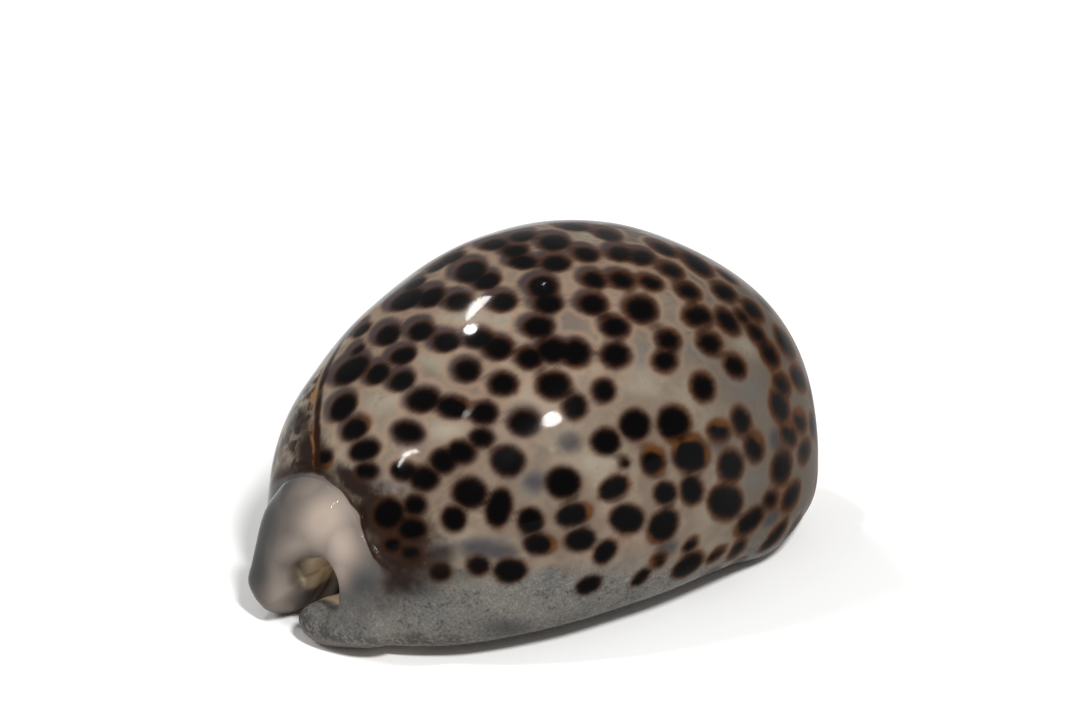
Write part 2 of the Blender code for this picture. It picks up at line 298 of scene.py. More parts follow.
def shellRows():
    middle = np.linspace(-form["toothed"], form["toothed"], form["teeth"] * form["rowsPerTooth"] + 1)
    step = np.linspace(0, 1, form["rowsEnd"] + 1)[1:]
    x = np.concatenate([blend(-form["toothed"], form["rimAt"][0], step)[::-1], middle,
                        blend(form["toothed"], form["rimAt"][1], step)])
    slit = along(form["slitY"], x, 2.5, 2.0)
    wider = form["slitWider"] * np.exp(-((x - form["slitWiderAt"]) / form["slitWiderLength"]) ** 2)
    gap = along(form["slitHalfGap"], x, 3.5, 5.0) + wider
    lipWall, pillarWall = slit + gap, slit - gap
    start = angleAbove(x, lipWall + along(form["lipOut"], x), outside, centre, 2.8)
    end = angleAbove(x, pillarWall - along(form["pillarOut"], x), outside, centre, -2.8)
    outer, angle = arc(x, start, end, outside, centre, relief)
    start = angleAbove(x, pillarWall - along(form["pillarIn"], x), inside, canalCentre, -2.6)
    end = angleAbove(x, lipWall + along(form["lipIn"], x), inside, canalCentre, 2.6)
    inner, _ = arc(x, start, end, inside, canalCentre)
    pillar = lip(x, outer[:, -1], inner[:, 0], pillarWall, 1, 0.0)
    outerLip = lip(x, inner[:, -1], outer[:, 0], lipWall, -1, 0.5)
    flat = np.concatenate([outer, pillar, inner, outerLip], axis=1)
    rows = np.concatenate([np.broadcast_to(x[:, None, None], flat.shape[:2] + (1,)), flat], axis=2)
    front = closeEnd(rows[0], -form["rimDepth"][0], form["rimEdge"][0])[::-1]
    behind = closeEnd(rows[-1], form["rimDepth"][1], form["rimEdge"][1])
    grid = np.concatenate([np.array(front), rows, np.array(behind)])
    # how far along, round and into the hollow each point lies
    station = grid[..., 0].copy()
    a, l, r = form["arcPoints"], form["lipPoints"], form["rowsRim"]
    turns = np.zeros(grid.shape[:2])
    turns[r:-r, :a] = angle
    turns[:r, :a], turns[-r:, :a] = angle[0], angle[-1]
    turns[:, a:a + l] = turns[:, a - 1:a]
    turns[:, a + l:2 * a + l] = turns[:, :a][:, ::-1]
    turns[:, 2 * a + l:] = turns[:, :1]
    # 0 outside, 1 in the hollow
    within = np.zeros(grid.shape[1])
    within[a:a + l] = np.linspace(0, 1, l)
    within[a + l:2 * a + l] = 1
    within[2 * a + l:] = np.linspace(1, 0, l)
    within = np.repeat(within[None], len(grid), 0)
    towards = np.sin(np.linspace(math.pi / 2, 0, r + 1))[:-1, None] * 0.5
    within[:r] += towards * (1 - 2 * within[:r])
    within[-r:] += towards[::-1] * (1 - 2 * within[-r:])
    return settle(grid, turns), station, turns, within


def settle(grid, turns):
    x, y, z = grid[..., 0].copy(), grid[..., 1], grid[..., 2]
    reach, angle, spread, at, before, after = form["shoulder"]
    reach = reach * np.exp(-((turns - angle) / spread) ** 2 - ((x - at) / np.where(x < at, before, after)) ** 2)
    above = ease(*form["leanAbove"], z - centre(x)[1])
    front, behind = ease(*form["leanFrom"], -x), ease(*form["leanFrom"], x)
    shear = form["frontShear"] * (y - form["shearAbout"]) * front
    grid[..., 0] = x + form["leanBack"] * above * (front - behind) - shear - reach
    tip = ease(*form["liftFrom"], x)
    lipLift, pillarLift = form["frontLift"]
    lift = blend(pillarLift, lipLift, ease(-2, 4, y)) * tip * ease(7, 1, z)
    lipSide = ease(*form["narrowerFrom"], x) * ease(3, 8, y)
    grid[..., 1] = y - form["frontNarrower"] * lipSide * blend(-1, 1, ease(1.5, 7.5, z))
    grid[..., 2] = np.maximum(z - form["sink"], 0) + lift
    low, high = grid.min((0, 1)), grid.max((0, 1))
    grid[..., :2] -= ((low + high) / 2)[:2]
    return grid


def wrapGrid(name, grid):
    # a flat grid, rolled up into the shell's wall; its two long edges and its end rims are merged
    rows, columns = grid.shape[:2]
    bm = bmesh.new()
    bmesh.ops.create_grid(bm, x_segments=columns, y_segments=rows - 1, size=1)
    rowOf, columnOf = bm.verts.layers.int.new("row"), bm.verts.layers.int.new("column")
    for v in bm.verts:
        c = round((v.co.x + 1) / 2 * columns)
        r = round((v.co.y + 1) / 2 * (rows - 1))
        v[rowOf], v[columnOf] = r, c % columns
        v.co = grid[r, c % columns] * mm
    bmesh.ops.remove_doubles(bm, verts=bm.verts, dist=0.002 * mm)
    bmesh.ops.dissolve_degenerate(bm, edges=bm.edges, dist=0.001 * mm)
    bmesh.ops.recalc_face_normals(bm, faces=bm.faces)
    mesh = bpy.data.meshes.new(name)
    bm.to_mesh(mesh)
    bm.free()
    mesh.shade_smooth()
    piece = bpy.data.objects.new(name, mesh)
    bpy.context.scene.collection.objects.link(piece)
    return piece


grid, stations, turns, within = shellRows()
shell = wrapGrid("cowrieShell", grid)
mesh = shell.data
count = len(mesh.vertices)
rowOf, columnOf = np.empty(count, np.int32), np.empty(count, np.int32)
mesh.attributes["row"].data.foreach_get("value", rowOf)
mesh.attributes["column"].data.foreach_get("value", columnOf)
places = np.empty(count * 3)
mesh.vertices.foreach_get("co", places)
places = places.reshape(-1, 3) / mm
normals = np.array([n.vector for n in mesh.vertex_normals])
station, turn, hollow = stations[rowOf, columnOf], turns[rowOf, columnOf], within[rowOf, columnOf]
print("shell skinned:", count, "points,", len(mesh.polygons), "faces")

# markings, read from the photograph. Each spot is an oval as it looks there: pixel,
# half length and half width in pixels, tilt in degrees. Where only one size is given, it is
# round on the shell
spots = {
    "upperLeft": [
        (362, 330, 11), (415, 284, 12), (407, 299, 18, 8, 28), (431, 297, 14, 8, 30), (452, 258, 13), (437, 267, 11),
        (471, 271, 16, 10, 15), (487, 281, 13, 8, 15), (458, 301, 12, 8, 15), (388, 335, 13, 9, 35),
        (421, 331, 13, 9, 20), (446, 342, 13, 9, 10), (358, 350, 8, 3, 40), (403, 356, 13, 8, 20),
        (351, 370, 20, 10, 35), (378, 374, 13, 9, 35), (402, 381, 13, 9, 28), (467, 370, 13, 11, 0),
        (498, 348, 14, 11, 0), (479, 339, 14, 9, 0)],
    "topMiddle": [
        (494, 244, 13, 5, 10), (522, 236, 13, 5, 8), (515, 251, 13, 6, 5), (523, 262, 14, 7, 0),
        (554, 242, 14, 8, 0), (556, 263, 14, 8, 0), (573, 227, 15, 3.5, -5), (586, 254, 12, 7, -10),
        (608, 235, 13, 5, -15), (620, 253, 12, 7, -8), (642, 257, 12, 7, -12), (543, 287, 15, 11, 0),
        (548, 303, 14, 10, 0), (503, 302, 13, 9, 8), (594, 280, 12, 8, -15), (622, 280, 13, 8, -18),
        (651, 283, 11, 6, -18), (593, 304, 14, 10, -10), (641, 309, 16, 12, -15), (538, 327, 15, 10, 0),
        (615, 327, 13, 10, -10), (616, 355, 14, 12, 0), (530, 358, 13, 10, 0), (552, 350, 16, 12, 0),
        (576, 353, 14, 13, 0)],
    "upperRight": [
        (664, 249, 13, 4.5, -28), (697, 263, 18, 6, -38), (729, 276, 10, 3, -35), (671, 270, 12, 6, -22),
        (689, 291, 12, 7, -25), (725, 292, 12, 7, -32), (698, 316, 14, 10, -5), (728, 321, 14, 8, -48),
        (742, 317, 9, 5, -45), (753, 310, 12, 6, -48), (763, 302, 9), (757, 334, 13, 6, -52),
        (710, 343, 12, 10, -30), (668, 340, 12, 10, -20), (665, 361, 12, 10, 0), (735, 366, 12, 9, -50),
        (770, 354, 13, 7, -60), (785, 342, 16, 5, -60), (799, 378, 12, 6, -65), (782, 385, 11, 7, -65),
        (703, 387, 14, 11, -75)],
    "leftMiddle": [
        (343, 407, 16, 10, 48), (423, 400, 16, 11, 10), (453, 407, 16, 10, -8), (355, 429, 14, 10, 35),
        (364, 450, 15, 10, 20), (366, 471, 11, 8, 0), (323, 459, 10, 8, 40), (408, 432, 15, 10, -10),
        (443, 461, 13, 12, 0), (461, 452, 14, 11, 0), (404, 471, 13, 9, -10), (424, 478, 14, 12, 0),
        (415, 505, 11, 10, 0), (388, 514, 16, 15, 60), (412, 530, 14, 12, 0), (411, 553, 10, 8, 0),
        (393, 545, 9, 8, 0), (454, 519, 12, 13, 0)],
    "centre": [
        (503, 384, 13, 11, 0), (554, 385, 16, 13, 0), (575, 407, 11, 12, 0), (604, 391, 11, 11, 0),
        (484, 413, 13, 11, 0), (482, 438, 12, 9, 0), (524, 423, 15, 12, 0), (606, 442, 14, 13, 0),
        (625, 462, 5, 5, 0), (508, 461, 16, 15, 0), (563, 483, 17, 16, 0), (614, 488, 16, 10, 28),
        (470, 493, 17, 15, 0), (499, 508, 19, 13, 75), (531, 521, 13, 13, 0), (573, 515, 17, 11, 15),
        (627, 519, 17, 15, 0), (510, 571, 16, 12, 0), (539, 544, 15, 10, 0), (580, 540, 15, 11, 12),
        (605, 552, 14, 9, 45), (440, 572, 11, 9, 0), (478, 566, 11, 9, 0)],
    "rightMiddle": [
        (635, 425, 15, 15, 0), (674, 423, 16, 17, 0), (741, 421, 14, 9, -75), (719, 431, 11, 9, 0),
        (754, 447, 14, 9, -75), (691, 455, 18, 17, 0), (653, 462, 12, 14, 0), (731, 466, 16, 12, 90),
        (782, 467, 16, 9, 80), (789, 434, 12, 7, -70), (800, 422, 10, 6, -75), (780, 407, 17, 8, -75),
        (814, 424, 11, 3, -85), (805, 451, 11, 5, 80), (792, 496, 15, 6, 65), (770, 500, 9, 6, 60),
        (665, 493, 11, 11, 0), (692, 490, 14, 11, 90), (726, 502, 17, 17, 0)],
    "lowerRight": [
        (663, 526, 18, 13, 50), (750, 521, 18, 8, 45), (690, 545, 10, 4, 45), (738, 549, 11, 4, 50),
        (658, 560, 9, 6, 40), (688, 566, 18, 8, 38), (641, 577, 12, 5, 42), (589, 585, 14, 8, 28),
        (775, 537, 20, 4, 50), (716, 555, 11, 3, 40)],
}
# soft grey blots under the glaze
deepBlots = [
    (460, 301, 16, 11, 15), (366, 474, 14, 11, 0), (408, 434, 18, 13, -10), (524, 420, 18, 16, 0),
    (569, 443, 12, 9, 0), (535, 482, 10, 8, 0), (720, 442, 10, 9, 0), (778, 441, 13, 7, -80), (805, 452, 12, 7, 80),
    (440, 554, 12, 10, 0), (477, 549, 13, 9, 0), (503, 552, 16, 8, 0), (553, 577, 11, 9, 0), (581, 594, 9, 5, 0),
    (517, 629, 16, 7, 0), (433, 612, 12, 5, 0), (772, 517, 12, 5, 45), (668, 549, 11, 6, 40), (618, 492, 13, 8, 28),
    (785, 345, 17, 7, -60)]
# halos: an older, wider coat of each spot, that shows beside it. Shift in pixels and growth, by height
halos = {"grow": (1.10, 1.30), "shift": (-4.0, -3.5), "from": (460, 330), "slope": 0.45, "slopeAt": 430}
# amber patches: pixel, half sizes, tilt, strength
amberPlaces = [
    (655, 449, 13, 7, 0, 0.9), (636, 485, 7, 6, 0, 1.0), (590, 509, 6, 9, -20, 0.9), (502, 537, 10, 6, 0, 0.9),
    (555, 545, 7, 8, 0, 0.8), (653, 537, 9, 6, 40, 0.5), (756, 438, 8, 8, 0, 0.6), (720, 423, 10, 5, 0, 0.8),
    (691, 439, 16, 5, 0, 0.7), (706, 455, 5, 12, 0, 0.7), (676, 446, 5, 8, 0, 0.7), (800, 410, 7, 6, 0, 0.6),
    (466, 404, 9, 5, 0, 0.4), (368, 420, 8, 8, 40, 0.5), (659, 470, 8, 8, 0, 0.5), (788, 425, 6, 6, 0, 0.6),
    (330, 466, 12, 5, -20, 0.8), (625, 540, 12, 5, 0, 0.4), (735, 532, 6, 6, 0, 0.5), (655, 560, 8, 5, 40, 0.5)]
# wide tints over the ground: pixel, half sizes, tilt, strength. The shade tint is painted shade; the cool tint is
# partly the ground's own grey, partly a painted sheen
tints = {
    "cream": [
        (447, 430, 24, 12, 0, 1.0), (395, 397, 40, 14, 15, 0.8), (690, 402, 40, 20, -20, 0.15),
        (600, 462, 28, 9, 5, 0.8), (440, 362, 26, 10, -10, 0.6), (745, 345, 16, 9, -40, 0.5),
        (665, 300, 18, 9, -20, 0.2), (590, 235, 16, 7, -5, 0.7), (700, 525, 26, 14, 20, 0.15),
        (470, 312, 22, 8, 30, 0.6), (335, 395, 10, 14, -20, 0.5), (640, 390, 24, 9, -10, 0.4)],
    # cool grey patches: partly the ground's own grey, partly a painted sheen
    "cool": [
        (395, 486, 20, 9, 0, 1.0), (535, 482, 15, 14, 0, 0.8), (640, 356, 16, 12, 0, 0.8),
        (322, 400, 7, 24, 10, 0.9), (585, 385, 20, 9, 0, 0.5), (700, 352, 20, 9, -30, 0.6),
        (745, 385, 22, 12, -30, 0.6), (560, 331, 16, 9, 0, 0.6), (500, 437, 22, 9, 0, 0.5),
        (565, 425, 30, 9, 0, 0.4), (590, 412, 14, 22, 0, 0.4), (480, 545, 30, 8, 0, 0.8), (755, 480, 16, 9, 20, 0.5),
        (660, 330, 14, 14, 0, 0.4), (620, 565, 30, 7, 20, 0.5), (720, 300, 14, 9, -40, 0.5)],
    "brown": [
        (400, 545, 32, 38, 0, 1.0), (378, 515, 20, 30, 30, 1.0), (355, 484, 30, 10, -38, 1.0),
        (398, 578, 34, 16, 0, 0.7), (310, 450, 14, 30, 0, 1.0), (300, 420, 14, 30, 15, 0.7),
        (425, 530, 14, 20, 0, 0.5)],
    # painted shade near the bottom edge and beside the nose
    "shade": [
        (410, 585, 34, 16, 0, 1.0), (385, 600, 26, 20, 0, 0.6), (460, 575, 40, 12, 0, 0.6),
        (505, 628, 30, 9, 0, 0.7), (600, 592, 30, 5, 20, 0.3), (800, 440, 10, 40, -80, 0.3),
        (300, 620, 10, 10, 0, 0.6)],
}
# painted light and painted shade on the nose, lighter where it looks lit and darker where it looks shaded: pixel,
# half sizes, tilt, strength
noseLitAndShaded = {
    "light": [
        (322, 521, 30, 23, 60, 1.0), (340, 545, 17, 30, 15, 0.9), (341, 570, 12, 18, 0, 0.6),
        (300, 545, 24, 14, 30, 0.5), (281, 602, 18, 18, 0, 0.45), (312, 490, 18, 12, 30, 0.3)],
    "shade": [
        (254, 565, 14, 50, 0, 1.0), (262, 520, 14, 40, -15, 0.9), (276, 488, 13, 30, -25, 0.8),
        (366, 588, 18, 20, 20, 1.0), (352, 608, 26, 16, 20, 0.9), (325, 625, 45, 14, 0, 0.7),
        (380, 565, 9, 18, 20, 0.6)],
}
# where the nose begins, pixel by pixel, and on its unseen sides by angle and x
noseEdge = {
    "pixels": [(282, 478), (292, 474), (300, 472), (310, 471), (322, 476), (332, 483), (342, 492),
               (352, 503), (359, 516), (364, 530), (368, 545), (374, 557), (381, 568)],
    "onward": [(-2.8, -39.6), (-1.8, -39.4), (-1.45, -38.9), (1.5, -32.0), (2.0, -32.0), (2.8, -32.5)],
}
# where the two lobes of the mantle met: from the nose over the back
dorsalLine = {
    "pixels": [(316, 472), (317, 450), (317, 430), (318, 410), (320, 392), (326, 372), (332, 358)],
    "onward": [(-17, 0.73), (-11, 0.76), (-4, 0.75), (4, 0.71),
               (12, 0.66), (20, 0.60), (27, 0.52), (32, 0.43)],         # x, angle
}
# spots for the sides that the photograph doesn't show, in mm
fillSpots = {
    "seed": 11, "tries": 9000, "largest": 2.05, "smallest": 0.85, "sizeVaries": (0.8, 1.1),
    "gap": 1.45, "gapVaries": (0.5, 1.9), "fused": 0.08, "overlap": 0.5,
    "haloShift": (-0.35, 0.2, 0.15), "haloGrow": 1.2,
    "behind": 1.6, "upTo": 34, "angle": 1.95,       # clear of the nose, of the spout and of the base
    "blotSeed": 5, "blotShare": 0.3, "blotShift": 3, "blotSize": (1.3, 2.2),
}
softJoin, softBlot = 0.14, 0.8      # mm over which two spots, or two blots, that touch run into one
marginEdge = {"height": (11.8, 5.2), "between": (-26, 14), "above": 4.5, "below": 3.5}      # mm; x

faces = [tuple(p.vertices) for p in mesh.polygons]
tree = BVHTree.FromPolygons([tuple(p) for p in places], faces)


def onShell(px, py):
    hit, normal, face, _ = tree.ray_cast(Vector(eye), Vector(rayThrough(px, py)))
    if hit is None:
        return None, None
    normal = normals[list(faces[face])].mean(0)
    return np.array(hit), normal / np.linalg.norm(normal)


def nearest(at):
    return int(np.argmin(((places - at) ** 2).sum(1)))


def surfaceAt(x, angle):
    away = (station - x) ** 2 + (mmPerRadian * (turn - angle)) ** 2
    return places[int(np.argmin(away + 900 * (hollow > 0.4)))]


towardsEye = (eye - places) / np.linalg.norm(eye - places, axis=1)[:, None]
facing = np.einsum("ij,ij->i", normals, towardsEye)


def ovalOn(px, py, a, b, tilt):
    # the oval's centre, normal and half axes on the shell's tangent plane, in mm, and its size
    at, normal = onShell(px, py)
    if at is None:
        return None
    t = math.radians(tilt)
    ends = []
    for dx, dy in ((a * math.cos(t), -a * math.sin(t)), (-b * math.sin(t), -b * math.cos(t))):
        ray = rayThrough(px + dx, py + dy)
        reach = ((at - eye) @ normal) / (ray @ normal)
        ends.append(eye + ray * reach - at)
    longest = max(np.linalg.norm(e) for e in ends)
    limit = 1.6 * a * pixelSize(at)
    return at, normal, [e * min(1, limit / np.linalg.norm(e)) for e in ends], min(longest, limit)


def ovalDistance(oval):
    # signed distance from each point of the shell to the oval's edge, and its share of the way there
    at, normal, (first, second), _ = oval
    away = places - at
    flat = away - np.outer(away @ normal, normal)
    side = np.cross(normal, first)
    side = side / np.linalg.norm(side)
    main = first / np.linalg.norm(first)
    matrix = np.array([[first @ main, second @ main], [0, second @ side]])
    u, v = np.linalg.inv(matrix) @ np.stack([flat @ main, flat @ side])
    ratio = np.maximum(np.sqrt(u * u + v * v), 1e-6)
    distance = np.linalg.norm(away, axis=1)
    return np.where(normals @ normal > -0.2, distance * (1 - 1 / ratio), 9.0), ratio


def roundDistance(px, py, r):
    at, normal = onShell(px, py)
    if at is None:
        return None
    size = r * pixelSize(at)
    return np.linalg.norm(places - at, axis=1) - size, at, size


def onePart(away, soft):
    # a spot's part of a field; where spots touch, their parts add up and they run together
    return np.exp(-np.clip(away, -6, 8) / soft)


def layDown(spotList, soft, shift=None):
    # one field for a list of spots, with their centres and sizes
    total, centres = np.zeros(count), []
    for spot in spotList:
        px, py = spot[:2]
        grow = 1.0
        if shift:
            share = float(ease(*halos["from"], py + halos["slope"] * (px - halos["slopeAt"])))
            grow = blend(*halos["grow"], share)
            px, py = px + shift[0] * share, py + shift[1] * share
        if len(spot) == 3:
            found = roundDistance(px, py, spot[2] * grow)
            if not found:
                continue
            d, at, size = found
        else:
            oval = ovalOn(px, py, spot[2] * grow, spot[3] * grow, spot[4])
            if not oval:
                continue
            (d, _), at, size = ovalDistance(oval), oval[0], oval[3]
        total += onePart(d, soft)
        centres.append((at, size))
    return total, centres


def growFill(centres, total, haloTotal):
    rng = random.Random(fillSpots["seed"])
    free = (facing < 0.10) & (hollow < 0.3) & (bodySide > fillSpots["behind"]) & (station < fillSpots["upTo"])
    free &= (np.abs(turn) < fillSpots["angle"]) & (places[:, 2] > marginTop - marginEdge["below"])
    candidates = np.where(free)[0]
    at = np.array([c for c, _ in centres])
    size = np.array([s for _, s in centres])
    for i in range(fillSpots["tries"]):
        p = places[candidates[rng.randrange(len(candidates))]]
        share = i / fillSpots["tries"]
        r = blend(fillSpots["largest"], fillSpots["smallest"], share) * rng.uniform(*fillSpots["sizeVaries"])
        fused = rng.random() < fillSpots["fused"]
        gap = -fillSpots["overlap"] if fused else fillSpots["gap"] * rng.uniform(*fillSpots["gapVaries"])
        if (np.linalg.norm(at - p, axis=1) - size - r).min() > gap:
            at, size = np.vstack([at, p]), np.append(size, r)
            total += onePart(np.linalg.norm(places - p, axis=1) - r, softJoin)
            q = p + np.array(fillSpots["haloShift"])
            haloTotal += onePart(np.linalg.norm(places - q, axis=1) - r * fillSpots["haloGrow"], softJoin)
    return total, haloTotal, at


def patches(patchList):
    # soft oval patches: 1 in the middle, fading outwards
    total = np.zeros(count)
    for px, py, a, b, tilt, strength in patchList:
        oval = ovalOn(px, py, a, b, tilt)
        if oval:
            _, ratio = ovalDistance(oval)
            near = np.linalg.norm(places - oval[0], axis=1) < 3 * oval[3] + 2
            total = np.maximum(total, np.where(near, strength * np.exp(-0.9 * ratio ** 2), 0))
    return total


marginTop = blend(*marginEdge["height"], ease(*marginEdge["between"], station))
# nose boundary: mm behind it, along the shell
seams = [nearest(onShell(*p)[0]) for p in noseEdge["pixels"] if onShell(*p)[0] is not None]
seams = sorted([(turn[i], station[i]) for i in seams] + noseEdge["onward"])
bodySide = station - np.interp(turn, [t for t, _ in seams], [x for _, x in seams])
furrow = -form["seamDepth"] * np.exp(-(bodySide / form["seamWidth"]) ** 2)
furrow += form["seamRoll"] * np.exp(-((bodySide - form["seamRollAt"]) / form["seamRollWidth"]) ** 2)
furrow *= ease(-1.30, -0.95, turn) * ease(1.1, 0.7, turn) * ease(0.3, 0.1, hollow)
# the teeth run out over the base as low ribs
arcEnd, lipEnd = form["arcPoints"], form["arcPoints"] + form["lipPoints"]
onOutside, onLip = columnOf < arcEnd, (columnOf < lipEnd) | (columnOf >= lipEnd + arcEnd)
fromSlit = np.where(onOutside, np.minimum(columnOf, arcEnd - 1 - columnOf), np.where(onLip, 0, 99))
phase = np.where(turn > 0, 0.5, 0.0)
ribWave = 0.5 + 0.5 * np.cos(2 * math.pi * (station / (2 * form["toothed"]) * form["teeth"] + phase))
ribReach = ease(form["toothed"] + 1, form["toothed"] - 3, np.abs(station)) * ease(form["ribColumns"], 1, fromSlit)
rib = form["ribHeight"] * (ribWave - form["ribLevel"]) * ribReach * onOutside
places = places + normals * (furrow + rib)[:, None]
places[:, 2] = np.maximum(places[:, 2], 0)      # nothing below the floor
mesh.vertices.foreach_set("co", (places * mm).ravel())
mesh.update()

allSpots = [s for group in spots.values() for s in group]
spotTotal, spotCentres = layDown(allSpots, softJoin)
haloTotal, _ = layDown(allSpots, softJoin, halos["shift"])
seenCount = len(spotCentres)
spotTotal, haloTotal, allCentres = growFill(spotCentres, spotTotal, haloTotal)
deepTotal, _ = layDown(deepBlots, softBlot)
rng, reach = random.Random(fillSpots["blotSeed"]), fillSpots["blotShift"]
for p in allCentres[seenCount:]:
    if rng.random() < fillSpots["blotShare"]:
        q = p + np.array([rng.uniform(-reach, reach) for _ in range(3)])
        deepTotal += onePart(np.linalg.norm(places - q, axis=1) - rng.uniform(*fillSpots["blotSize"]), softBlot)
linePoints = [onShell(*p)[0] for p in dorsalLine["pixels"]] + [surfaceAt(*p) for p in dorsalLine["onward"]]
linePoints = [p for p in linePoints if p is not None]
lineEdge = np.full(count, 9.0)
for start, end in zip(linePoints, linePoints[1:]):
    leg = end - start
    t = np.clip(((places - start) @ leg) / max(leg @ leg, 1e-6), 0, 1)
    lineEdge = np.minimum(lineEdge, np.linalg.norm(places - start - t[:, None] * leg, axis=1))
byStation = sorted((station[i], turn[i]) for i in map(nearest, linePoints))
beyondLine = mmPerRadian * (turn - np.interp(station, [x for x, _ in byStation], [t for _, t in byStation]))
print("spots placed:", seenCount, "of", len(allSpots), "from the photograph,",
      len(allCentres) - seenCount, "on the other sides")


def addAttribute(name, values):
    mesh.attributes.new(name, "FLOAT", "POINT").data.foreach_set("value", np.asarray(values, np.float32))


def edgeField(total, soft):
    # signed distance to the nearest edge, in mm
    return np.clip(-soft * np.log(np.maximum(total, 1e-9)), -4, 4)


addAttribute("spotEdge", edgeField(spotTotal, softJoin))
addAttribute("haloEdge", edgeField(haloTotal, softJoin))
addAttribute("deepEdge", edgeField(deepTotal, softBlot))
addAttribute("amber", patches(amberPlaces))
for name, patchList in tints.items():
    addAttribute("tint" + name.capitalize(), patches(patchList))
# painted light and painted shade on the nose
for name, patchList in noseLitAndShaded.items():
    addAttribute("nose" + name.capitalize(), patches(patchList))
addAttribute("lineEdge", lineEdge)
addAttribute("beyondLine", np.clip(beyondLine, -4, 4))
addAttribute("lineGlow", ease(30, 26, station) * blend(0.4, 1, ease(-14, -24, station)))
addAttribute("lineSide", ease(-16, -24, station) * ease(14, 7, beyondLine))
addAttribute("bodySide", np.clip(bodySide * blend(1, 0.10, ease(-0.90, -1.15, turn)), -6, 6))
addAttribute("pillarSide", ease(-1.2, -1.9, turn))
addAttribute("toothShare", ribWave * ribReach)
addAttribute("grooveShare", (1 - ribWave) * ribReach)
addAttribute("spoutShare", ease(34.0, 36.5, station))
addAttribute("margin", ease(marginTop + marginEdge["above"], marginTop - marginEdge["below"], places[:, 2]))
addAttribute("baseShare", ease(1.95, 2.35, np.abs(turn)))
addAttribute("hollow", hollow)


# arithmetic on sockets: an expression adds its own Math nodes
class Wire:
    def __init__(self, finish, socket):
        self.finish, self.socket = finish, socket

    def math(self, operation, other, swap=False):
        first, second = (other, self) if swap else (self, other)
        return self.finish.add("ShaderNodeMath", {"operation": operation}, {0: first, 1: second})

    def __add__(self, other): return self.math("ADD", other)
    def __radd__(self, other): return self.math("ADD", other, True)
    def __sub__(self, other): return self.math("SUBTRACT", other)
    def __rsub__(self, other): return self.math("SUBTRACT", other, True)
    def __mul__(self, other): return self.math("MULTIPLY", other)
    def __rmul__(self, other): return self.math("MULTIPLY", other, True)


class Finish:
    def __init__(self, name):
        self.material = bpy.data.materials.new(name)
        self.material.use_nodes = True
        self.tree = self.material.node_tree
        self.surface = self.tree.nodes["Principled BSDF"]
        self.coordinates = self.add("ShaderNodeTexCoord", out="Object")

    def add(self, kind, settings=None, inputs=None, out=0):
        node = self.tree.nodes.new(kind)
        for name, value in (settings or {}).items():
            setattr(node, name, value)
        for name, value in (inputs or {}).items():
            self.feed(node.inputs[name], value)
        return Wire(self, node.outputs[out])

    def feed(self, socket, value):
        if isinstance(value, Wire):
            self.tree.links.new(value.socket, socket)
        elif isinstance(value, tuple) and len(value) == 3 and socket.type == "RGBA":
            socket.default_value = (*value, 1)
        else:
            socket.default_value = value

    def attribute(self, name):
        return self.add("ShaderNodeAttribute", {"attribute_name": name}, out="Fac")

    def noise(self, kind):
        # kind gives the blots' size in mm, their detail and a shift; values run about 0.3 to 0.7
        size, detail, shift = noises[kind]
        place = self.add("ShaderNodeMapping", None,
                         {"Vector": self.coordinates, "Location": (shift, shift * 0.7, -shift)})
        return self.add("ShaderNodeTexNoise", None, {"Vector": place, "Scale": 1 / (size * mm), "Detail": detail})

    def step(self, value, start, end):
        # 0 at start, 1 at end, eased
        return self.add("ShaderNodeMapRange", {"interpolation_type": "SMOOTHSTEP"},
                        {"Value": value, "From Min": start, "From Max": end, "To Min": 0.0, "To Max": 1.0})

    def dusk(self, value, start, end):
        # the same, but even to the eye when what it lays on is dark
        bright = 1 - self.step(value, start, end)
        return 1 - bright * bright

    def mix(self, share, first, second):
        return self.add("ShaderNodeMix", {"data_type": "RGBA"}, {0: share, 6: first, 7: second}, out=2)


glaze = {
    # ground
    "cream": (0.27, 0.235, 0.180), "beige": (0.205, 0.158, 0.117), "taupe": (0.140, 0.107, 0.082),
    "greyBeige": (0.090, 0.074, 0.059), "peach": (0.26, 0.170, 0.115), "cool": (0.105, 0.104, 0.104),
    "halo": (0.040, 0.028, 0.029), "deep": (0.034, 0.034, 0.040),
    "brownGround": (0.018, 0.011, 0.009), "shade": (0.040, 0.039, 0.037),
    # spots and line
    "black": (0.0015, 0.0012, 0.0014), "brown": (0.016, 0.0065, 0.0032), "rust": (0.085, 0.030, 0.009),
    "amber": (0.095, 0.034, 0.007), "lineAmber": (0.20, 0.095, 0.030),
    # lower sides
    "margin": (0.116, 0.115, 0.108), "marginLight": (0.182, 0.180, 0.168),
    "marginDark": (0.050, 0.049, 0.048), "marginLow": (0.140, 0.112, 0.095),
    # nose, base and hollow
    # the nose's mid tone with a painted-light copy and a painted-shade copy; noseLight is also the spout's own cream
    "nose": (0.098, 0.084, 0.077), "noseLight": (0.37, 0.302, 0.250), "noseShade": (0.050, 0.050, 0.050),
    "base": (0.50, 0.44, 0.37), "baseWarm": (0.42, 0.34, 0.27), "tooth": (0.66, 0.60, 0.52),
    # hollowShade: painted shade on the canal walls near the opening
    "groove": (0.26, 0.19, 0.13), "hollow": (0.62, 0.49, 0.34), "hollowShade": (0.078, 0.062, 0.046),
    # gloss
    "roughness": 0.35, "specular": 0.005, "coatIor": 1.12, "coatRoughness": 0.05,
    "duller": {"height": (25.0, 7.0), "heightShare": 0.60, "x": (2.0, 26.0), "xShare": 0.5},
    "bump": 0.30, "bumpDepth": 0.2 * mm,
}
# blots: size in mm, detail, shift
noises = {
    "coarse": (9.0, 2.0, 0.0), "middle": (3.0, 2.0, 0.013), "fine": (0.9, 2.0, 0.031), "grain": (0.35, 1.0, 0.047),
    "streaks": (1.6, 2.0, 0.07), "ripples": (4.0, 2.0, 0.09),
}
netSize = 0.75                      # mm
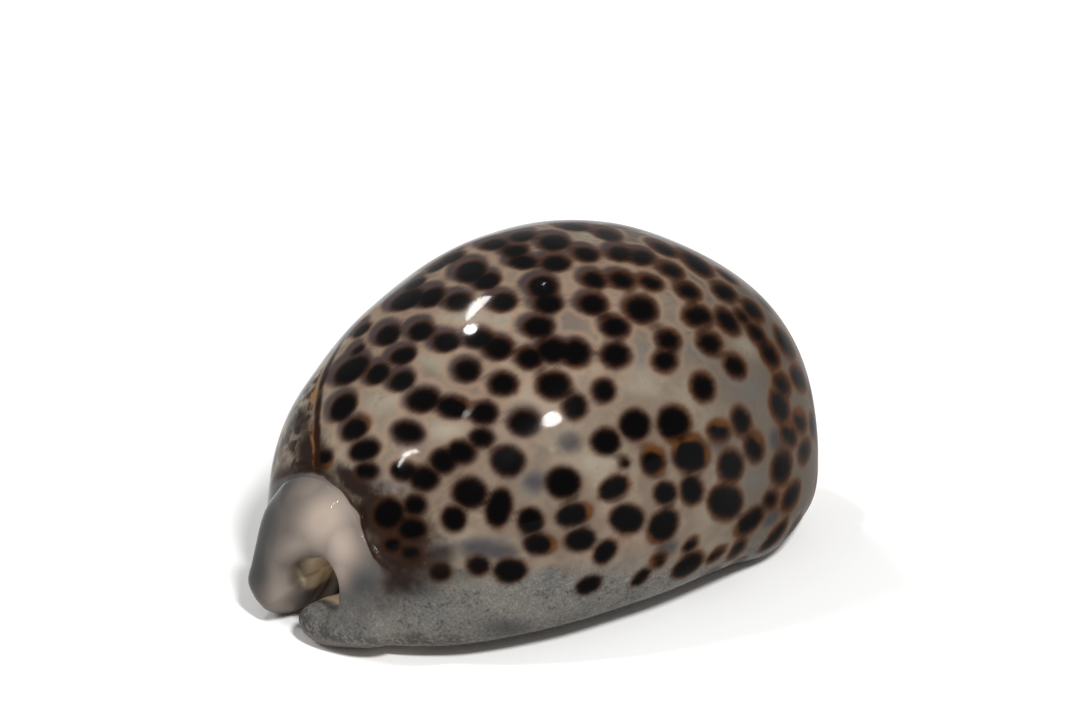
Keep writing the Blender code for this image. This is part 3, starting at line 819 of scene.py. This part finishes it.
# where each coat of a marking begins and is full, in mm from its edge, outwards positive
coats = {
    "rust": (0.95, 0.10), "brown": (0.66, -0.60), "black": (0.14, -0.85),
    "amberOut": (1.3, 0.1), "amberIn": (-1.3, -0.1),
    "halo": (0.85, -0.75), "ringOut": (1.35, 0.60), "ringIn": (-0.20, 0.45), "deep": (0.9, -1.5),
    "line": (0.85, 0.05), "lineDark": (0.2, 1.2), "lineAmberIn": (0.1, 0.6), "lineAmberOut": (2.0, 1.1),
    "seamOut": (1.3, 0.2), "seamIn": (-0.25, 0.05), "nose": (0.25, -0.25),
}
# heights and x, in mm, over which a colour comes in
spans = {
    "high": (22.0, 36.0), "right": (-12.0, 22.0), "lowest": (2.4, 1.0),
    "streakBottom": (1.8, 2.8), "streakTop": (4.6, 3.4), "streakFront": (4.0, -14.0),
    "noseShadedFarSide": (3.2, 6.4), "noseAbove": (2.0, 7.0), "lobeSpeckled": (8.5, 3.5), "seam": (11.5, 14.5),
    "base": (-37.0, -31.0), "hollowDeep": (-37.6, -35.2), "hollowFront": (-39.8, -38.6),
}


def shellGlaze():
    f = Finish("shellGlaze")
    g = glaze
    place = f.add("ShaderNodeSeparateXYZ", None, {"Vector": f.coordinates})
    x, y, z = (Wire(f, place.socket.node.outputs[i]) * 1000.0 for i in range(3))      # mm
    coarse, middle, fine, grain = (f.noise(kind) for kind in ("coarse", "middle", "fine", "grain"))
    wobble = (middle - 0.5) * 0.45 + (fine - 0.5) * 0.22
    bodySide = f.attribute("bodySide") + (middle - 0.5) * 0.5
    onNose = f.step(bodySide, *coats["nose"])
    callus = f.add("ShaderNodeMath", {"operation": "MAXIMUM"}, {0: onNose, 1: f.attribute("spoutShare")})
    bare = (1 - callus) * (1 - f.attribute("baseShare"))
    high = f.step(z - x * 0.25 + y * 0.15, *spans["high"])
    rightSide = f.step(x, *spans["right"])
    edge = f.attribute("spotEdge") * (1 - rightSide * 0.35) + wobble
    haloEdge = f.attribute("haloEdge") + wobble * 1.3

    # ground: beige with lighter and darker clouds, peach lines round the halos of the upper side
    ground = f.mix(f.step(coarse * 0.6 + middle * 0.4, 0.40, 0.58), g["taupe"], g["beige"])
    ground = f.mix(f.step(coarse + (fine - 0.5) * 0.2, 0.54, 0.66) * 0.6, ground, g["cream"])
    # greyer and darker towards the broad end: partly the ground's own colour, partly painted shade
    ground = f.mix(rightSide, ground, g["greyBeige"])
    ground = f.mix(f.attribute("tintCream"), ground, g["cream"])
    # cool grey patches: partly the ground's own grey, partly a painted sheen
    ground = f.mix(f.attribute("tintCool") * 0.8, ground, g["cool"])
    ring = f.step(haloEdge, *coats["ringOut"]) * f.step(haloEdge, *coats["ringIn"])
    ground = f.mix(ring * (0.08 + high * 0.50), ground, g["peach"])
    ground = f.mix(f.dusk(haloEdge, *coats["halo"]) * (0.25 + high * 0.70), ground, g["halo"])
    ground = f.mix(f.dusk(f.attribute("deepEdge") + wobble, *coats["deep"]) * 0.85, ground, g["deep"])

    # lower side band: grey, mottled, with a faint net
    margin = f.step(f.attribute("margin") + (middle - 0.5) * 0.6 + (fine - 0.5) * 0.4, 0.15, 0.85)
    net = f.add("ShaderNodeTexVoronoi", {"feature": "DISTANCE_TO_EDGE"},
                {"Vector": f.coordinates, "Scale": 1 / (netSize * mm)})
    mottle = (fine - 0.5) * 0.9 + (grain - 0.5) * 1.2 + (middle - 0.5) * 0.7
    band = f.mix(f.step(mottle, 0.0, 0.45), g["margin"], g["marginLight"])
    band = f.mix(f.step(mottle, -0.02, -0.42), band, g["marginDark"])
    band = f.mix(f.step(net, 0.12, 0.0) * 0.12, band, g["marginDark"])
    height = z + (middle - 0.5) * 2.0
    streak = f.step(height, *spans["streakBottom"]) * f.step(height, *spans["streakTop"])
    streak = streak * f.step(x, *spans["streakFront"])
    band = f.mix(streak * f.step(mottle, 0.35, -0.15) * 0.9, band, g["marginDark"])
    band = f.mix(f.step(z + (middle - 0.5) * 1.0, *spans["lowest"]) * 0.8, band, g["marginLow"])
    ground = f.mix(margin * 0.85, ground, band)
    # painted shade near the bottom edge and beside the nose
    shade = f.attribute("tintShade") + (middle - 0.5) * 0.3 + (fine - 0.5) * 0.3
    ground = f.mix(f.step(shade, 0.05, 0.95) * 0.85, ground, g["shade"])
    brown = f.attribute("tintBrown") + (middle - 0.5) * 0.5 + (fine - 0.5) * 0.5
    ground = f.mix(f.dusk(brown, 0.0, 0.95), ground, g["brownGround"])

    # spots: a soft rusty edge, brown, amber places, a black middle
    rusty = f.step(x * 0.020 + (coarse - 0.5) * 2.4, -0.40, 0.60)
    amber = f.attribute("amber") + (fine - 0.5) * 0.3
    rim = f.step(edge, *coats["rust"]) * bare * (0.15 + rusty * 0.60 + rightSide * 0.15)
    colour = f.mix(rim, ground, g["rust"])
    colour = f.mix(f.dusk(edge, *coats["brown"]) * bare, colour, g["brown"])
    glow = amber * f.step(edge, *coats["amberOut"]) * f.step(edge, *coats["amberIn"])
    colour = f.mix(glow * bare, colour, g["amber"])
    core = f.dusk(edge + amber * 0.40 + rightSide * 0.12, *coats["black"])
    colour = f.mix(core * bare, colour, g["black"])

    # dorsal line: dark, with amber beside it and dark streaks beyond it near the nose
    line = f.attribute("lineEdge") + (middle - 0.5) * 0.6
    beyond = f.attribute("beyondLine") + (middle - 0.5) * 1.0
    streaks = f.step(f.noise("streaks") + (middle - 0.5) * 0.4, 0.60, 0.40)
    dark = f.step(beyond, *coats["lineDark"]) * f.attribute("lineSide") * streaks
    colour = f.mix(dark * bare * 0.92, colour, g["brownGround"])
    glow = f.step(beyond, *coats["lineAmberIn"]) * f.step(beyond, *coats["lineAmberOut"])
    glow = glow * f.step(middle + (fine - 0.5) * 0.4, 0.44, 0.58) * f.attribute("lineGlow")
    colour = f.mix(glow * bare * 0.8, colour, g["lineAmber"])
    colour = f.mix(f.dusk(line, *coats["line"]) * bare, colour, g["brown"])

    # nose and spout, with painted light and painted shade on the nose, and the dark seam behind the nose
    cloud = (coarse - 0.5) * 2.0 + (middle - 0.5) * 1.2
    nose = f.mix(f.attribute("noseLight") * 1.1 + cloud * 0.08, g["nose"], g["noseLight"])
    nose = f.mix(f.attribute("noseShade") * 1.1 + cloud * 0.08, nose, g["noseShade"])
    # painted shade on the nose's far side, away from the light
    farSideShade = f.step(y + cloud * 0.6, *spans["noseShadedFarSide"]) * f.step(z + cloud, *spans["noseAbove"])
    nose = f.mix(farSideShade * 0.9, nose, g["noseShade"])
    nose = f.mix(f.step(z + cloud * 1.2, *spans["lobeSpeckled"]) * f.attribute("pillarSide") * 0.9, nose, band)
    nose = f.mix(f.attribute("spoutShare") * 0.6, nose, g["noseLight"])
    colour = f.mix(callus, colour, nose)
    seam = f.step(bodySide, *coats["seamOut"]) * f.step(bodySide, *coats["seamIn"]) * f.step(z, *spans["seam"])
    colour = f.mix(seam * 0.85, colour, g["brown"])

    # base, lips and hollow
    base = f.mix(f.step(coarse, 0.42, 0.60), g["base"], g["baseWarm"])
    base = f.mix(f.attribute("grooveShare") * 0.8, base, g["groove"])
    base = f.mix(f.attribute("toothShare") * 0.8, base, g["tooth"])
    onBase = f.step(f.attribute("baseShare") + (middle - 0.5) * 0.4, 0.35, 0.90) * f.step(x, *spans["base"])
    colour = f.mix(onBase, colour, base)
    # in the hollow: painted shade on the canal walls near the opening, the hollow's own tan further in
    inner = f.mix(f.step(x + (middle - 0.5) * 1.5, *spans["hollowDeep"]), g["hollowShade"], g["hollow"])
    within = f.step(f.attribute("hollow"), 0.58, 0.70)
    within = within * f.step(x - f.attribute("pillarSide") * 3.5, *spans["hollowFront"])
    colour = f.mix(within, colour, inner)

    f.feed(f.surface.inputs["Base Color"], colour)
    f.feed(f.surface.inputs["Roughness"], g["roughness"])
    f.feed(f.surface.inputs["Specular IOR Level"], g["specular"])
    d = g["duller"]                 # the glaze is thinner on the lower sides and the broad end
    coat = (1 - f.step(z, *d["height"]) * d["heightShare"]) * (1 - f.step(x, *d["x"]) * d["xShare"])
    f.feed(f.surface.inputs["Coat Weight"], coat)
    f.feed(f.surface.inputs["Coat IOR"], g["coatIor"])
    f.feed(f.surface.inputs["Coat Roughness"], g["coatRoughness"])
    height = (f.noise("ripples") - 0.5) * 0.2 + (fine - 0.5) * 0.08
    bump = f.add("ShaderNodeBump", None, {"Strength": g["bump"], "Distance": g["bumpDepth"], "Height": height})
    f.feed(f.surface.inputs["Normal"], bump)
    return f.material


mesh.materials.append(shellGlaze())
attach(shell, "root")
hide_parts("shell")
print("glaze made")

# floor and light. Each lamp is given as the oval that the glaze shows as its highlight, like the
# spots; it stands at a distance in metres, and glows with a radiance
studio = {
    "floorColour": (0.93, 0.93, 0.92), "floorSize": 6.0, "floorRoughness": 0.9, "floorSpecular": 0.1,
    "skyStrength": 0.34,
    "lamps": [
        {"highlight": (553, 417, 9.5, 7, 8), "distance": 1.0, "glow": 245.0},
        {"highlight": (479, 305, 16, 3, 42), "distance": 1.1, "glow": 90.0},
        {"highlight": (469, 330, 7, 4, 25), "distance": 1.1, "glow": 280.0},
        {"highlight": (405, 455, 14, 2.4, 42), "distance": 0.9, "glow": 230.0},
        {"highlight": (465, 413, 1.8, 1.5, 0), "distance": 1.1, "glow": 450.0},
        {"highlight": (542, 284, 1.8, 1.4, 0), "distance": 1.1, "glow": 450.0},
    ],
}


def bounceFrom(px, py, distance):
    # where a lamp that the glaze shows at this pixel would be
    at, normal = onShell(px, py)
    ray = rayThrough(px, py)
    return at * mm + (ray - 2 * (ray @ normal) * normal) * distance


def addLamp(name, highlight, distance, glow):
    px, py, a, b, tilt = highlight
    t = math.radians(tilt)
    middle = bounceFrom(px, py, distance)
    away = middle - onShell(px, py)[0] * mm
    away = away / np.linalg.norm(away)
    halves = []
    for dx, dy in ((a * math.cos(t), -a * math.sin(t)), (-b * math.sin(t), -b * math.cos(t))):
        half = (bounceFrom(px + dx, py + dy, distance) - bounceFrom(px - dx, py - dy, distance)) / 2
        halves.append(half - (half @ away) * away)
    side = np.cross(away, halves[0])
    side = side / np.linalg.norm(side)
    main = np.cross(side, away)
    axes, sizes, _ = np.linalg.svd(np.array([[h @ main for h in halves], [h @ side for h in halves]]))
    first = axes[0, 0] * main + axes[1, 0] * side
    data = bpy.data.lights.new(name, "AREA")
    data.shape = "ELLIPSE"
    data.size, data.size_y = 2 * sizes[0], 2 * sizes[1]
    data.energy = glow * math.pi * math.pi * sizes[0] * sizes[1]
    lamp = bpy.data.objects.new(name, data)
    bpy.context.scene.collection.objects.link(lamp)
    turnTo = Matrix([list(first), list(np.cross(away, first)), list(away)]).transposed()
    lamp.matrix_world = Matrix.Translation(Vector(middle)) @ turnTo.to_4x4()
    print(name, "at", np.round(middle, 2), "halves", np.round(sizes, 3), "power %.2f" % data.energy)


def makeStudio():
    bm = bmesh.new()
    bmesh.ops.create_grid(bm, x_segments=1, y_segments=1, size=studio["floorSize"] / 2)
    floorMesh = bpy.data.meshes.new("floor")
    bm.to_mesh(floorMesh)
    bm.free()
    floor = bpy.data.objects.new("floor", floorMesh)
    bpy.context.scene.collection.objects.link(floor)
    paper = Finish("floorPaper")
    paper.feed(paper.surface.inputs["Base Color"], studio["floorColour"])
    paper.feed(paper.surface.inputs["Roughness"], studio["floorRoughness"])
    paper.feed(paper.surface.inputs["Specular IOR Level"], studio["floorSpecular"])
    floorMesh.materials.append(paper.material)
    world = bpy.data.worlds.new("sky")
    bpy.context.scene.world = world
    world.use_nodes = True
    world.node_tree.nodes["Background"].inputs["Color"].default_value = (1, 1, 1, 1)
    world.node_tree.nodes["Background"].inputs["Strength"].default_value = studio["skyStrength"]
    for i, lamp in enumerate(studio["lamps"]):
        addLamp(f"lamp{i + 1}", **lamp)


makeStudio()
bpy.context.scene.view_settings.view_transform = "Standard"
print("studio set")
